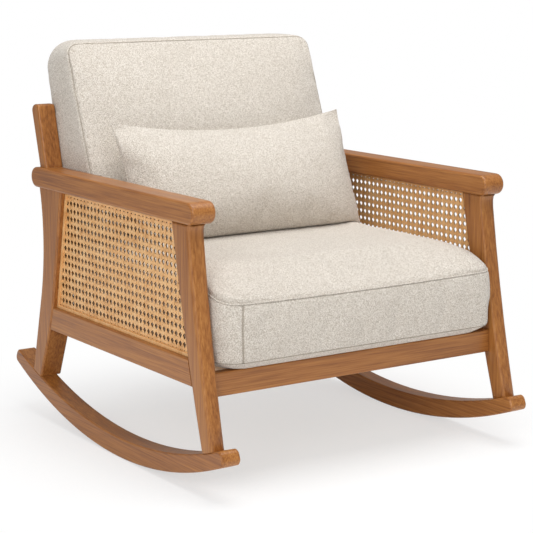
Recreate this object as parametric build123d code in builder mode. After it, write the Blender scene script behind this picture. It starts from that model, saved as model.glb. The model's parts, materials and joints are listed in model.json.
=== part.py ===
from build123d import *
import os
from math import asin, atan, atan2, cos, sin, sqrt, tan

# Upholstered rocking chair with cane sides, in millimetres.
# It faces -Y, stands on Z = 0 and is mirrored about X = 0. Left is -X, the viewer's left from the front.

# Overall sizes
chair_width = 720.0  # across the outer faces of the armrests
arm_height = 535.0  # floor to the top of the armrests
side_setback = 4.0  # legs, posts and rockers stand this far inside the armrest's outer face

# Fits
glue_gap = 0.2  # glue line round a wood joint
rest_gap = 0.4  # between a soft piece and what it rests against

# Rockers, sawn from a board: a rolling arc below and a flatter arc above
rocker_length = 840.0
rocker_radius = 1030.0
rocker_low_y = -30.0  # where the rolling arc touches the floor
rocker_width = 40.0
rocker_depth = 40.0
rocker_end_depth = 29.0
rocker_end_round = 11.0
rocker_edge_chamfer = 2.5

# Armrests, with full round ends
arm_width = 50.0
arm_thickness = 41.0
arm_front_y = -334.0
arm_rear_y = 314.0
arm_edge_round = 5.0

# Front legs, bowed and tapered, with a cove under the armrest
leg_top_front_y = -307.0
leg_top_depth = 57.0
leg_top_width = 37.0
leg_foot_inset = 30.0  # from the rocker's front end to the leg's front edge
leg_foot_depth = 40.0
leg_foot_width = 29.0
leg_bow = 6.0
leg_cove_height = 26.0
leg_cove_reach = 10.0
leg_edge_round = 7.0
leg_bow_shares = (0.0, 0.2, 0.4, 0.6, 0.8, 1.0)  # sections up the bow
leg_cove_shares = (0.5, 0.8, 1.0)  # and up the cove

# Back posts, sawn in one piece from the rocker to the top
post_width = 48.0
post_step = 8.0  # the post is thinner on its outer side above the armrest's underside
post_rise = 168.0  # from the armrest's underside to the top
post_top_front_y = 299.0
post_top_back_y = 331.5
post_neck_front_y = 257.0
post_shoulder_front_y = 188.0
post_knee_y = 256.0
post_knee_drop = 100.0  # below the armrest's underside
post_knee_radius = 500.0
post_calf_reach = 66.0  # from the foot forward to the calf
post_calf_z = 222.0
post_calf_radius = 300.0
post_foot_inset = 76.0  # from the rocker's rear end to the post's back edge
post_foot_depth = 35.0
post_top_back_round = 13.0
post_top_front_round = 7.0
post_edge_round = 5.0

# Side rails
side_rail_bottom = 200.0
side_rail_top = 249.0
side_rail_setback = 2.0
side_rail_thickness = 22.0
side_rail_edge_round = 3.0
side_tenon_length = 25.0
side_tenon_height = 26.0
side_tenon_thickness = 8.0
side_tenon_setback = 6.0
side_tenon_drop = 10.0

# Front and rear rails
cross_rail_bottom = 180.0
cross_rail_height = 45.0
cross_rail_thickness = 20.0
cross_rail_edge_round = 3.0
cross_tenon_height = 28.0
cross_tenon_thickness = 10.0
front_rail_y = -337.0
front_tenon_length = 14.0
rear_rail_y = 268.0
rear_tenon_length = 25.0

# Cane panels, pressed into a groove round each side opening and edged with a reed
cane_setback = 15.0
cane_thickness = 3.0
cane_groove = 6.0
cane_fit = 0.3
cane_border = 13.0
cane_pitch = 26.0
cane_hole = 16.0
reed_width = 6.0
reed_thickness = 4.0

# Seat deck: slats that run front to back on two cleats
slat_count = 7
slat_width = 58.0
slat_thickness = 16.0
slat_end_gap = 0.5
slat_edge_round = 3.0
cleat_width = 22.0
cleat_height = 24.0
cleat_end_gap = 20.0

# Back frame: two rails and upright slats that lean with the posts
back_rail_height = 54.0
back_rail_thickness = 14.0
back_rail_setback = 18.0
back_rail_edge_round = 3.0
back_rail_drop = 8.0  # from the top of the posts to the top rail, along the lean
back_lower_drop = 20.0  # from the armrest's underside to the lower rail, along the lean
back_tenon_length = 18.0
back_tenon_height = 34.0
back_tenon_thickness = 7.0
back_slat_count = 5
back_slat_width = 52.0
back_slat_thickness = 7.0
back_slat_tenon = 12.0

# Tenons of the legs and posts in the armrests and the rockers
arm_tenon_width = 12.0
arm_tenon_length = 34.0
arm_tenon_height = 24.0
arm_tenon_setback = 27.0
foot_tenon_width = 11.0
foot_tenon_length = 20.0
foot_tenon_floor = 12.0  # left under the mortise in the rocker
foot_tenon_setback = 15.0
tenon_root = 6.0  # how far a tenon starts inside its own piece

# Loose cushions
cushion_side_gap = 2.0  # beside each cushion, to the back posts

# Seat cushion, a boxed foam cushion with a crown
seat_front_y = -364.5
seat_rear_y = 246.0
seat_corner = 38.0
seat_draw = 5.0
seat_seam_low = 11.0  # lower seam above the underside
seat_seam_high = 122.0  # upper seam above the underside
seat_swell = 1.5  # less than the gap beside the cushion, so that it lifts out between the posts
seat_crown = 50.0  # crown above the upper seam
seat_crown_reach = 190.0  # from the upper seam to the flat of the crown
seat_crown_rear_reach = 114.0

# Back cushion, a wedge that leans on the back frame and stands on the seat cushion
back_rise = 134.0  # above the posts
back_base_thickness = 142.0
back_front_slope = 0.381  # run over rise of the front face
back_corner = 46.0
back_draw = 6.0
back_rear_round = 12.0
back_crown = 18.0
back_crown_reach = 150.0

# Lumbar pillow with a knife edge
pillow_width = 532.0
pillow_height = 256.0
pillow_half = 62.0
pillow_reach = 112.0  # from the knife edge to the flat of the crown
pillow_centre_x = 3.0
pillow_draw = 20.0
pillow_draw_fade = 0.85  # of the draw, gone at the crown
pillow_fullness = 2.2

# Covers with their wadding, and the cores inside them
cover_wall = 3.0
core_fit = 0.4
crown_shares = (0.35, 0.7, 1.0)  # sections of a crown, from its seam to its flat
section_runs = 2  # straight runs in each corner or side of a lofted section

# Places worked out from the sizes above
side_outer = chair_width / 2 - side_setback
arm_bottom = arm_height - arm_thickness
post_top_z = arm_bottom + post_rise
post_knee_z = arm_bottom - post_knee_drop
leg_foot_front_y = leg_foot_inset - rocker_length / 2
post_foot_back_y = rocker_length / 2 - post_foot_inset
post_foot_front_y = post_foot_back_y - post_foot_depth
post_calf_y = post_foot_front_y - post_calf_reach
seat_deck_z = cross_rail_bottom + cross_rail_height
cushion_width = 2 * (side_outer - post_width - cushion_side_gap)


def rocker_point(angle, depth):
    """A point along the rolling arc, raised by depth towards the arc's centre."""
    reach = rocker_radius - depth
    return (rocker_low_y + reach * sin(angle), rocker_radius - reach * cos(angle))


def rocker_angle(y):
    return asin((y - rocker_low_y) / rocker_radius)


def rocker_end_angle(end_y, side):
    """The square end whose round lower corner just reaches end_y."""
    inner = rocker_radius - rocker_end_round
    return asin((end_y - side * rocker_end_round - rocker_low_y) / inner) + side * asin(rocker_end_round / inner)


# Feet are drawn down to the middle of the rocker and trimmed by it
leg_foot_z = rocker_point(rocker_angle(leg_foot_front_y), rocker_end_depth / 2)[1]
post_foot_z = rocker_point(rocker_angle(post_foot_front_y), rocker_end_depth / 2)[1]


def leg_edge_y(foot_y, top_y, z):
    """The bowed front or back edge of a front leg."""
    share = (z - leg_foot_z) / (arm_bottom - leg_foot_z)
    return foot_y + share * (top_y - foot_y) + 4 * leg_bow * share * (1 - share)


def leg_front_y(z):
    return leg_edge_y(leg_foot_front_y, leg_top_front_y, z)


def leg_back_y(z):
    return leg_edge_y(leg_foot_front_y + leg_foot_depth, leg_top_front_y + leg_top_depth, z)


def leg_cove_y(z):
    """How far the cove under the armrest stands forward of a front leg's front edge."""
    share = max(0.0, (z - arm_bottom) / leg_cove_height + 1)
    return leg_cove_reach * (1 - sqrt(1 - share**2))


def post_front_y(z):
    """The straight front edge of a back post between its calf and the armrest."""
    rise = (z - post_calf_z) / (arm_bottom - post_calf_z)
    return post_calf_y + rise * (post_shoulder_front_y - post_calf_y)


def leg_inner_x(z):
    """The tapered inner face of a left front leg."""
    share = (z - leg_foot_z) / (arm_bottom - leg_foot_z)
    return -side_outer + leg_foot_width + share * (leg_top_width - leg_foot_width)


def few_runs(curve):
    """A curve as a few straight runs, so that a lofted piece has few faces."""
    Polyline(*[curve @ (run / section_runs) for run in range(section_runs + 1)])


def soft_section(plane, width, height, corner=0.0, draw=None, foot_draw=0.0):
    """A closed outline: four sides, straight or drawn in at their middles, and round or pointed corners."""
    right = width / 2
    top = height / 2
    ease = corner * (1 - sqrt(0.5))

    def side(start, middle, end, drawn):
        if draw is None:
            Line(start, end)
        elif drawn > 0:
            few_runs(ThreePointArc(start, middle, end, mode=Mode.PRIVATE))
        else:
            few_runs(Line(start, end, mode=Mode.PRIVATE))

    def turn(start, middle, end):
        if corner > 0:
            few_runs(ThreePointArc(start, middle, end, mode=Mode.PRIVATE))

    drawn_in = draw or 0.0
    with BuildSketch(plane) as section:
        with BuildLine():
            side((corner - right, -top), (0, foot_draw - top), (right - corner, -top), foot_draw)
            turn((right - corner, -top), (right - ease, ease - top), (right, corner - top))
            side((right, corner - top), (right - drawn_in, 0), (right, top - corner), drawn_in)
            turn((right, top - corner), (right - ease, top - ease), (right - corner, top))
            side((right - corner, top), (0, top - drawn_in), (corner - right, top), drawn_in)
            turn((corner - right, top), (ease - right, top - ease), (-right, top - corner))
            side((-right, top - corner), (drawn_in - right, 0), (-right, corner - top), drawn_in)
            turn((-right, corner - top), (ease - right, ease - top), (corner - right, -top))
        make_face()
    return section.sketch


def on_side(setback):
    """The side-view plane of the left side, this far inside the legs' outer faces."""
    return Plane.YZ.offset(-side_outer + setback)


def twin(left):
    """The right-hand copy of a left-hand piece."""
    with BuildPart() as right:
        mirror(left.part, about=Plane.YZ)
    return right


# Side-view outlines
rocker_front = rocker_end_angle(-rocker_length / 2, -1)
rocker_rear = rocker_end_angle(rocker_length / 2, 1)
with BuildSketch() as rocker_outline:
    with BuildLine():
        rolling_arc = ThreePointArc(
            rocker_point(rocker_front, 0), rocker_point(0, 0), rocker_point(rocker_rear, 0)
        )
        rear_end = Line(rolling_arc @ 1, rocker_point(rocker_rear, rocker_end_depth))
        upper_arc = ThreePointArc(
            rear_end @ 1, rocker_point(0, rocker_depth), rocker_point(rocker_front, rocker_end_depth)
        )
        Line(upper_arc @ 1, rolling_arc @ 0)
    make_face()
    fillet(rocker_outline.vertices(), rocker_end_round)

leg_cove_z = arm_bottom - leg_cove_height
leg_waist_z = (leg_foot_z + arm_bottom) / 2
with BuildSketch() as leg_outline:
    with BuildLine():
        front_edge = ThreePointArc(
            (leg_foot_front_y, leg_foot_z),
            (leg_front_y(leg_waist_z), leg_waist_z),
            (leg_front_y(leg_cove_z), leg_cove_z),
        )
        cove = TangentArc(
            front_edge @ 1, (leg_top_front_y - leg_cove_reach, arm_bottom), tangent=front_edge % 1
        )
        top_end = Line(cove @ 1, (leg_top_front_y + leg_top_depth, arm_bottom))
        back_edge = ThreePointArc(
            top_end @ 1,
            (leg_back_y(leg_waist_z), leg_waist_z),
            (leg_foot_front_y + leg_foot_depth, leg_foot_z),
        )
        Line(back_edge @ 1, front_edge @ 0)
    make_face()

with BuildSketch() as post_outline:
    with BuildLine():
        FilletPolyline(
            (post_foot_back_y, post_foot_z),
            (post_knee_y, post_knee_z),
            (post_top_back_y, post_top_z),
            radius=post_knee_radius,
        )
        Polyline(
            (post_top_back_y, post_top_z),
            (post_top_front_y, post_top_z),
            (post_neck_front_y, arm_bottom),
            (post_shoulder_front_y, arm_bottom),
        )
        FilletPolyline(
            (post_shoulder_front_y, arm_bottom),
            (post_calf_y, post_calf_z),
            (post_foot_front_y, post_foot_z),
            radius=post_calf_radius,
        )
        Line((post_foot_front_y, post_foot_z), (post_foot_back_y, post_foot_z))
    make_face()
    top_corners = post_outline.vertices().group_by(Axis.Y)[-1].sort_by(Axis.X)
    fillet(top_corners[-1], post_top_back_round)
    top_front = post_outline.vertices().group_by(Axis.Y)[-1].sort_by(Axis.X)[0]
    fillet(top_front, post_top_front_round)


def side_opening(inset):
    """Corners of the opening between leg, armrest, post and side rail, drawn in on every side."""
    top = arm_bottom - inset
    bottom = side_rail_top + inset
    return [
        (leg_back_y(top) + inset, top),
        (post_front_y(top) - inset, top),
        (post_front_y(bottom) - inset, bottom),
        (leg_back_y(bottom) + inset, bottom),
    ]


def cut_cane_groove():
    """Cut the groove that the cane's edge is pressed into from the piece being made."""
    with BuildSketch(on_side(cane_setback - cane_fit)) as groove:
        Polygon(*side_opening(-cane_groove), align=None)
    extrude(groove.sketch, amount=cane_thickness + 2 * cane_fit, mode=Mode.SUBTRACT)


side_tenon_z = side_rail_top - side_tenon_drop - side_tenon_height / 2
side_tenon_front_y = leg_back_y(side_tenon_z) - side_tenon_length
side_tenon_rear_y = post_front_y(side_tenon_z) + side_tenon_length


def side_tenon(gap, mode):
    """The side rail's tenon, which runs the length of the rail, or the mortises for it."""
    with BuildSketch(on_side(side_tenon_setback - gap)) as section:
        with Locations(((side_tenon_front_y + side_tenon_rear_y) / 2, side_tenon_z)):
            Rectangle(side_tenon_rear_y - side_tenon_front_y + 2 * gap, side_tenon_height + 2 * gap)
    extrude(section.sketch, amount=side_tenon_thickness + 2 * gap, mode=mode)


cross_tenon_z = cross_rail_bottom + cross_rail_height / 2
front_tenon_x = -leg_inner_x(cross_tenon_z) + front_tenon_length
rear_tenon_x = side_outer - post_width + rear_tenon_length


def cross_tenon(rail_y, reach, gap, mode):
    """The tenon through a front or rear rail, or the mortises for it."""
    rear_face_y = rail_y + (cross_rail_thickness + cross_tenon_thickness) / 2 + gap
    with BuildSketch(Plane.XZ.offset(-rear_face_y)) as section:
        with Locations((0, cross_tenon_z)):
            Rectangle(2 * (reach + gap), cross_tenon_height + 2 * gap)
    extrude(section.sketch, amount=cross_tenon_thickness + 2 * gap, mode=mode)


# The back frame's plane lies on the posts' front edges above the armrests and leans with them
back_lean = atan2(post_top_front_y - post_neck_front_y, post_top_z - arm_bottom)
back_plane = Plane(
    origin=(0, post_neck_front_y, arm_bottom), x_dir=(1, 0, 0), z_dir=(0, -cos(back_lean), sin(back_lean))
)
back_reach = (post_top_z - arm_bottom) / cos(back_lean)
back_top_rail_v = back_reach - back_rail_drop - back_rail_height / 2
back_lower_rail_v = -back_lower_drop - back_rail_height / 2
back_rail_x = side_outer - post_width - glue_gap
back_tenon_x = side_outer - post_width + back_tenon_length


def back_tenon(rail_v, gap, mode):
    """The tenon through a back rail, or the mortises for it."""
    depth = back_rail_setback + (back_rail_thickness + back_tenon_thickness) / 2 + gap
    with BuildSketch(back_plane.offset(-depth)) as section:
        with Locations((0, rail_v)):
            Rectangle(2 * (back_tenon_x + gap), back_tenon_height + 2 * gap)
    extrude(section.sketch, amount=back_tenon_thickness + 2 * gap, mode=mode)


arm_tenon_places = [
    (-side_outer + arm_tenon_setback, leg_top_front_y + leg_top_depth / 2),
    (-side_outer + arm_tenon_setback, (post_shoulder_front_y + post_neck_front_y) / 2),
]


def arm_tenon(place, gap, mode):
    """An upright tenon of a leg or a post in the armrest, or the mortise for it."""
    with BuildSketch(Plane.XY.offset(arm_bottom - tenon_root)) as section:
        with Locations(place):
            Rectangle(arm_tenon_width + 2 * gap, arm_tenon_length + 2 * gap)
    extrude(section.sketch, amount=tenon_root + arm_tenon_height + gap, mode=mode)


leg_foot_angle = rocker_angle(leg_foot_front_y + leg_foot_depth / 2)
post_foot_angle = rocker_angle(post_foot_front_y + post_foot_depth / 2)


def foot_tenon(angle, gap, mode):
    """A foot's tenon, square to the rocker, or the mortise for it."""
    y, z = rocker_point(angle, foot_tenon_floor - gap)
    mortise_floor = Plane(
        origin=(-side_outer + foot_tenon_setback, y, z), x_dir=(1, 0, 0), z_dir=(0, -sin(angle), cos(angle))
    )
    with BuildSketch(mortise_floor) as section:
        Rectangle(foot_tenon_width + 2 * gap, foot_tenon_length + 2 * gap)
    extrude(section.sketch, amount=rocker_depth - foot_tenon_floor + tenon_root + gap, mode=mode)


# Left rocker
with BuildPart() as rocker_left:
    with BuildSketch(on_side(0)):
        add(rocker_outline.sketch_local)
    extrude(amount=rocker_width)
    chamfer(rocker_left.faces().filter_by(Axis.X).edges(), rocker_edge_chamfer)
    foot_tenon(leg_foot_angle, glue_gap, Mode.SUBTRACT)
    foot_tenon(post_foot_angle, glue_gap, Mode.SUBTRACT)


def trim_foot():
    """Trim a foot to the top of the rocker, less a glue line."""
    with BuildSketch(on_side(0)) as rocker_room:
        offset(rocker_outline.sketch_local, amount=glue_gap)
    extrude(rocker_room.sketch, amount=post_width, mode=Mode.SUBTRACT)


def leg_section(z):
    """A front leg's section at one height: flush outside, tapered inside, with round edges."""
    width = leg_inner_x(z) + side_outer
    front = leg_front_y(z) - leg_cove_y(z)
    depth = leg_back_y(z) - front
    plane = Plane((width / 2 - side_outer, front + depth / 2, z))
    return soft_section(plane, width, depth, leg_edge_round)


# Left front leg, a loft up the bow and then up the cove
taper = Plane(
    origin=(leg_inner_x(arm_bottom), 0, arm_bottom),
    x_dir=(0, 1, 0),
    z_dir=(leg_foot_z - arm_bottom, 0, leg_top_width - leg_foot_width),
)
leg_bow_heights = [leg_foot_z + share * (leg_cove_z - leg_foot_z) for share in leg_bow_shares]
leg_cove_heights = [leg_cove_z + share * leg_cove_height for share in leg_cove_shares]
with BuildPart() as front_leg_left:
    loft([leg_section(z) for z in leg_bow_heights + leg_cove_heights], ruled=True)
    trim_foot()
    foot_tenon(leg_foot_angle, 0, Mode.ADD)
    arm_tenon(arm_tenon_places[0], 0, Mode.ADD)
    side_tenon(glue_gap, Mode.SUBTRACT)
    cross_tenon(front_rail_y, front_tenon_x, glue_gap, Mode.SUBTRACT)
    cut_cane_groove()

# Left back post
with BuildPart() as back_post_left:
    with BuildSketch(on_side(0)):
        add(post_outline.sketch_local)
    extrude(amount=post_width)
    with BuildSketch(Plane.XY.offset(arm_bottom)):
        with Locations((-side_outer + post_step / 2, post_top_front_y)):
            Rectangle(post_step, 2 * (post_top_back_y - post_neck_front_y))
    extrude(amount=post_top_z, mode=Mode.SUBTRACT)
    long_edges = back_post_left.edges().filter_by(lambda e: e.bounding_box().size.Z > post_top_back_round * 2)
    fillet(long_edges, post_edge_round)
    trim_foot()
    foot_tenon(post_foot_angle, 0, Mode.ADD)
    arm_tenon(arm_tenon_places[1], 0, Mode.ADD)
    side_tenon(glue_gap, Mode.SUBTRACT)
    cross_tenon(rear_rail_y, rear_tenon_x, glue_gap, Mode.SUBTRACT)
    back_tenon(back_top_rail_v, glue_gap, Mode.SUBTRACT)
    back_tenon(back_lower_rail_v, glue_gap, Mode.SUBTRACT)
    cut_cane_groove()

# Left armrest, notched from its inner side round the post
with BuildPart() as armrest_left:
    with BuildSketch(on_side(-side_setback)):
        with Locations(((arm_front_y + arm_rear_y) / 2, arm_height - arm_thickness / 2)):
            SlotOverall(arm_rear_y - arm_front_y, arm_thickness)
    extrude(amount=arm_width)
    fillet(armrest_left.faces().filter_by(Axis.X).edges(), arm_edge_round)
    with BuildSketch(on_side(post_step - glue_gap)):
        offset(post_outline.sketch_local, amount=glue_gap)
    extrude(amount=arm_width, mode=Mode.SUBTRACT)
    cut_cane_groove()
    for place in arm_tenon_places:
        arm_tenon(place, glue_gap, Mode.SUBTRACT)

# Left side rail, shouldered against the leg and the post
side_rail_mid_z = (side_rail_bottom + side_rail_top) / 2
side_rail_front_y = leg_back_y(side_rail_mid_z) - leg_foot_depth / 2
side_rail_rear_y = post_front_y(side_rail_mid_z) + (post_foot_back_y - post_foot_front_y) / 2
with BuildPart() as side_rail_left:
    with BuildSketch(on_side(side_rail_setback)):
        with Locations(((side_rail_front_y + side_rail_rear_y) / 2, side_rail_mid_z)):
            Rectangle(side_rail_rear_y - side_rail_front_y, side_rail_top - side_rail_bottom)
        offset(leg_outline.sketch_local, amount=glue_gap, mode=Mode.SUBTRACT)
        offset(post_outline.sketch_local, amount=glue_gap, mode=Mode.SUBTRACT)
    extrude(amount=side_rail_thickness)
    fillet(side_rail_left.edges().filter_by(Axis.Y), side_rail_edge_round)
    side_tenon(0, Mode.ADD)
    cut_cane_groove()

# Left cane panel: one woven sheet with open gaps in rows inside a plain border
cane_margin = cane_border + cane_hole / 2
cane_rows = int((arm_bottom - side_rail_top - 2 * cane_margin) / cane_pitch) + 1
cane_first_z = (arm_bottom + side_rail_top - (cane_rows - 1) * cane_pitch) / 2
cane_columns = int((post_front_y(side_rail_top) - leg_back_y(side_rail_top)) / cane_pitch)
cane_first_y = (leg_back_y(side_rail_top) + post_front_y(side_rail_top) - (cane_columns - 1) * cane_pitch) / 2
cane_gaps = []
for row in range(cane_rows):
    gap_z = cane_first_z + row * cane_pitch
    for column in range(cane_columns):
        gap_y = cane_first_y + column * cane_pitch
        if leg_back_y(gap_z) + cane_margin < gap_y < post_front_y(gap_z) - cane_margin:
            cane_gaps.append((gap_y, gap_z))
with BuildPart() as cane_panel_left:
    with BuildSketch(on_side(cane_setback)):
        Polygon(*side_opening(cane_fit - cane_groove), align=None)
        with Locations(*cane_gaps):
            RegularPolygon(cane_hole / 2, 6, mode=Mode.SUBTRACT)
    extrude(amount=cane_thickness)

# Left reed, one flat strip round the outer face of the cane
with BuildPart() as cane_reed_left:
    with BuildSketch(on_side(cane_setback - reed_thickness)):
        Polygon(*side_opening(glue_gap), align=None)
        offset(leg_outline.sketch_local, amount=glue_gap, mode=Mode.SUBTRACT)
        offset(post_outline.sketch_local, amount=glue_gap, mode=Mode.SUBTRACT)
        Polygon(*side_opening(reed_width), align=None, mode=Mode.SUBTRACT)
    extrude(amount=reed_thickness)


def cross_rail(rail_y, half_length):
    """A front or rear seat rail's plain bar, between the side frames."""
    with BuildSketch(Plane.XZ.offset(-rail_y - cross_rail_thickness)) as section:
        with Locations((0, cross_rail_bottom + cross_rail_height / 2)):
            Rectangle(2 * half_length, cross_rail_height)
    extrude(section.sketch, amount=cross_rail_thickness)


# Front rail, with ends cut to the taper of the legs
with BuildPart() as front_rail:
    cross_rail(front_rail_y, side_outer)
    split(bisect_by=taper.offset(-glue_gap), keep=Keep.BOTTOM)
    split(bisect_by=Plane.YZ, keep=Keep.BOTTOM)
    mirror(about=Plane.YZ)
    fillet(front_rail.edges().filter_by(Axis.X), cross_rail_edge_round)
    cross_tenon(front_rail_y, front_tenon_x, 0, Mode.ADD)

with BuildPart() as rear_rail:
    cross_rail(rear_rail_y, side_outer - post_width - glue_gap)
    fillet(rear_rail.edges().filter_by(Axis.X), cross_rail_edge_round)
    cross_tenon(rear_rail_y, rear_tenon_x, 0, Mode.ADD)

# Upright back slats, let into both rails
back_slat_low = back_lower_rail_v + back_rail_height / 2 - back_slat_tenon
back_slat_high = back_top_rail_v - back_rail_height / 2 + back_slat_tenon
back_slat_step = 2 * back_rail_x / (back_slat_count + 1)
back_slat_places = [back_slat_step * (i + 1) - back_rail_x for i in range(back_slat_count)]


def back_slat_bodies(places, gap, mode):
    """Upright slats at these places, or the mortises for their ends."""
    depth = back_rail_setback + (back_rail_thickness + back_slat_thickness) / 2 + gap
    with BuildSketch(back_plane.offset(-depth)) as faces:
        with Locations(*[(x, (back_slat_low + back_slat_high) / 2) for x in places]):
            Rectangle(back_slat_width + 2 * gap, back_slat_high - back_slat_low + 2 * gap)
    extrude(faces.sketch, amount=back_slat_thickness + 2 * gap, mode=mode)


def back_rail(rail_v):
    """A cross rail of the back frame, tenoned into the posts and mortised for the slats."""
    with BuildPart() as rail:
        with BuildSketch(back_plane.offset(-back_rail_setback)):
            with Locations((0, rail_v)):
                Rectangle(2 * back_rail_x, back_rail_height)
        extrude(amount=-back_rail_thickness)
        fillet(rail.edges().filter_by(Axis.X), back_rail_edge_round)
        back_tenon(rail_v, 0, Mode.ADD)
        back_slat_bodies(back_slat_places, glue_gap, Mode.SUBTRACT)
    return rail


back_top_rail = back_rail(back_top_rail_v)
back_lower_rail = back_rail(back_lower_rail_v)
back_slats = []
for place in back_slat_places:
    with BuildPart() as back_slat:
        back_slat_bodies([place], 0, Mode.ADD)
    back_slats.append(back_slat)

# Seat deck
cleat_top = seat_deck_z - slat_thickness
front_cleat_y = front_rail_y + cross_rail_thickness
rear_cleat_y = rear_rail_y - cleat_width
cleat_half = side_outer - post_width - cleat_end_gap
slat_front_y = front_cleat_y + slat_end_gap
slat_rear_y = rear_rail_y - slat_end_gap
slat_step = 2 * cleat_half / slat_count
slat_places = [slat_step * (i + 0.5) - cleat_half for i in range(slat_count)]


def cleat(front_y):
    """A strip along the inner side of a seat rail that carries the slats."""
    with BuildPart() as strip:
        with BuildSketch(Plane.XY.offset(cleat_top - cleat_height)):
            with Locations((0, front_y + cleat_width / 2)):
                Rectangle(2 * cleat_half, cleat_width)
        extrude(amount=cleat_height)
    return strip


front_cleat = cleat(front_cleat_y)
rear_cleat = cleat(rear_cleat_y)
seat_slats = []
for place in slat_places:
    with BuildPart() as seat_slat:
        with BuildSketch(Plane.XY.offset(cleat_top)):
            with Locations((place, (slat_front_y + slat_rear_y) / 2)):
                Rectangle(slat_width, slat_rear_y - slat_front_y)
        extrude(amount=slat_thickness)
        fillet(seat_slat.edges().filter_by(Axis.Y).group_by(Axis.Z)[-1], slat_edge_round)
    seat_slats.append(seat_slat)


def round_rise(share):
    """Rise of a quarter-round crown at a share of its reach."""
    return sqrt(1 - (1 - share) ** 2)


# Seat cushion
seat_bottom_z = seat_deck_z + rest_gap
seat_top_z = seat_bottom_z + seat_seam_high + seat_crown


def seat_section(height, inset, rear_inset, draw):
    front = seat_front_y + inset
    rear = seat_rear_y - rear_inset
    plane = Plane((0, (front + rear) / 2, seat_bottom_z + height))
    return soft_section(plane, cushion_width - 2 * inset, rear - front, seat_corner, draw, draw or 0.0)


def seat_crown_section(share, skin, draw):
    height = seat_seam_high + seat_crown * round_rise(share) - skin
    return seat_section(height, seat_crown_reach * share + skin, seat_crown_rear_reach * share + skin, draw)


def seat_core(gap, mode):
    """The foam block, or the space for it."""
    skin = cover_wall + seat_draw - gap
    sections = [
        seat_section(cover_wall - gap, seat_seam_low + skin, seat_seam_low + skin, None),
        seat_section(seat_seam_low + cover_wall - gap, skin, skin, None),
        seat_section(seat_seam_high, skin, skin, None),
        seat_crown_section(crown_shares[0], skin, None),
    ]
    loft(sections, ruled=True, mode=mode)


with BuildPart() as seat_cover:
    sections = [
        seat_section(0, seat_seam_low, seat_seam_low, seat_draw),
        seat_section(seat_seam_low, 0, 0, seat_draw),
        seat_section((seat_seam_low + seat_seam_high) / 2, -seat_swell, -seat_swell, seat_draw),
        seat_section(seat_seam_high, 0, 0, seat_draw),
    ]
    sections += [seat_crown_section(share, 0, seat_draw) for share in crown_shares]
    loft(sections, ruled=True)
    seat_core(core_fit, Mode.SUBTRACT)
with BuildPart() as seat_foam:
    seat_core(0, Mode.ADD)

# Back cushion: its sections turn from the lean of the back frame to the lean of its front face
back_front_lean = atan(back_front_slope)
back_base_slope = tan(back_lean)
seat_crown_points = [
    (
        seat_rear_y - seat_crown_rear_reach * share,
        seat_bottom_z + seat_seam_high + seat_crown * round_rise(share),
    )
    for share in crown_shares
]
back_base_height = max(z + back_base_slope * y for y, z in seat_crown_points) + rest_gap
frame_front = back_plane.offset(-back_rail_setback + rest_gap).origin
back_rear_y = (
    frame_front.Y + (back_base_height - frame_front.Z) * tan(back_lean)
) / (1 + back_base_slope * tan(back_lean))
back_rear_z = back_base_height - back_base_slope * back_rear_y
back_rear_share = back_rear_round / back_base_thickness


def back_section(share, forward, inset, draw):
    """A section at a share of the wedge's thickness, or forward of its front seam."""
    lean = back_lean + share * (back_front_lean - back_lean)
    run = share * back_base_thickness
    y = back_rear_y - run * cos(back_lean) - forward * cos(lean)
    z = back_rear_z + run * sin(back_lean) + forward * sin(lean)
    height = (post_top_z + back_rise - z) / cos(lean)
    middle = (0, y + height / 2 * sin(lean), z + height / 2 * cos(lean))
    plane = Plane(origin=middle, x_dir=(1, 0, 0), z_dir=(0, -cos(lean), sin(lean)))
    return soft_section(plane, cushion_width - 2 * inset, height - 2 * inset, back_corner, draw)


def back_core(gap, mode):
    """The back cushion's foam, or the space for it."""
    skin = cover_wall + back_draw - gap
    sections = [
        back_section((cover_wall - gap) / back_base_thickness, 0, back_rear_round + skin, None),
        back_section(back_rear_share, 0, skin, None),
        back_section(1, 0, skin + cover_wall, None),
    ]
    loft(sections, ruled=True, mode=mode)


with BuildPart() as back_cover:
    sections = [
        back_section(0, 0, back_rear_round, back_draw),
        back_section(back_rear_share, 0, 0, back_draw),
        back_section(1, 0, 0, back_draw),
    ]
    for share in crown_shares:
        sections.append(back_section(1, back_crown * round_rise(share), back_crown_reach * share, back_draw))
    loft(sections, ruled=True)
    back_core(core_fit, Mode.SUBTRACT)
with BuildPart() as back_foam:
    back_core(0, Mode.ADD)

# Lumbar pillow: it stands on the seat cushion's crown and leans on the back cushion
front_seam_y = back_rear_y - back_base_thickness * cos(back_lean)
front_seam_z = back_rear_z + back_base_thickness * sin(back_lean)
pillow_forward = back_crown + rest_gap + pillow_half
pillow_foot_z = seat_top_z + rest_gap
pillow_slide = (pillow_foot_z - front_seam_z - pillow_forward * sin(back_front_lean)) / cos(back_front_lean)
pillow_foot_y = front_seam_y - pillow_forward * cos(back_front_lean) + pillow_slide * sin(back_front_lean)
pillow_plane = Plane(
    origin=(pillow_centre_x, pillow_foot_y, pillow_foot_z),
    x_dir=(1, 0, 0),
    z_dir=(0, -cos(back_front_lean), sin(back_front_lean)),
)


def pillow_section(side, share, inset, skin, draw):
    """A section at a share of the way from the knife edge to the crown, which is drawn in less."""
    forward = side * (pillow_half * (1 - (1 - share) ** pillow_fullness) - skin)
    level = pillow_plane.offset(forward)
    plane = Plane(level.from_local_coords((0, pillow_height / 2, 0)), level.x_dir, level.z_dir)
    drawn_in = 2 * (pillow_reach * share + inset)
    fading_draw = None if draw is None else draw * (1 - pillow_draw_fade * share)
    return soft_section(plane, pillow_width - drawn_in, pillow_height - drawn_in, draw=fading_draw)


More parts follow.
